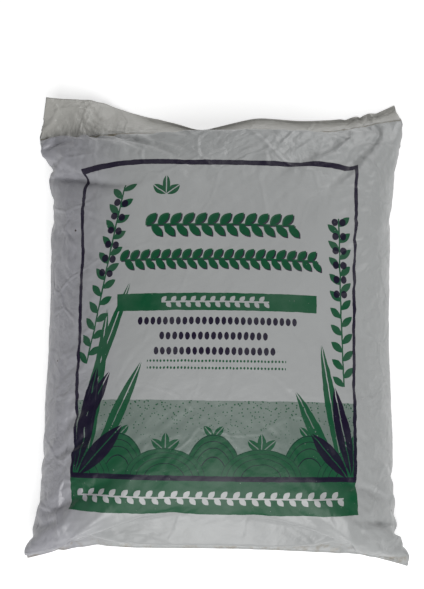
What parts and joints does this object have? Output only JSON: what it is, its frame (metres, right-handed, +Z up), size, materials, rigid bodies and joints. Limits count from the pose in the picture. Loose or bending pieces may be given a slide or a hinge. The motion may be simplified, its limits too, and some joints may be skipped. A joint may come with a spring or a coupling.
{
  "type": "filled compost bag",
  "caption": "Filled pillow-shaped film bag of compost, heat sealed across its ends, with an empty tail of film beyond the top seal. It lies on its back.",
  "frame": {"origin": "on the ground under the middle of the bag's box", "axes": "+Z up out of the printed face, +Y along the bag towards the top seal and its tail, +X across it to the right of the printed face"},
  "size_m": [0.349, 0.4382, 0.089],
  "materials": {
    "white_film": "printed white polyethylene film, semi-gloss, creased and a little soiled"
  },
  "bodies": {
    "root": {"filled_bag": "white_film"}
  },
  "joints": []
}
